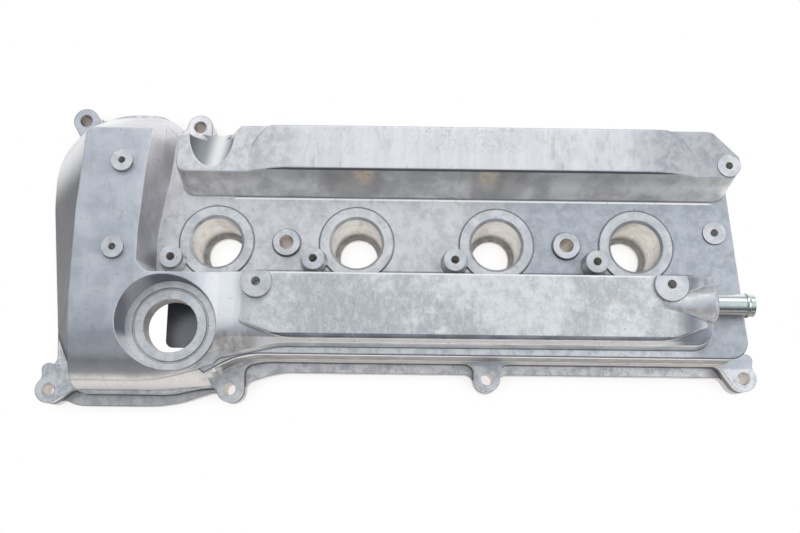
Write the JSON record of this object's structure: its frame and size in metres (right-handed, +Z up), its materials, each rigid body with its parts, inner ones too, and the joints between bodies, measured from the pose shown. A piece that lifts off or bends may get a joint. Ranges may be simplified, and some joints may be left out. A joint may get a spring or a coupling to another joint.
{
  "type": "engine valve cover",
  "caption": "Cast aluminium valve cover of an in-line engine with plug wells, oil filler neck, breather pipe and timing case hump.",
  "frame": {"origin": "on the gasket face, midway between the two centre stud holes, on the line of the plug wells", "axes": "+X along the row of plug wells towards the breather pipe, +Y to the rear chamber side, +Z up from the gasket face"},
  "size_m": [0.5134, 0.2198, 0.088],
  "materials": {
    "cast_aluminium": "as cast, satin, stained",
    "zinc_plated_steel": "zinc plated",
    "sheet_steel": "plain, oily"
  },
  "bodies": {
    "root": {"cover_casting": "cast_aluminium", "breather_pipe": "zinc_plated_steel", "front_baffle_plate": "sheet_steel", "rear_baffle_plate": "sheet_steel", "baffle_screws": "zinc_plated_steel"}
  },
  "joints": []
}
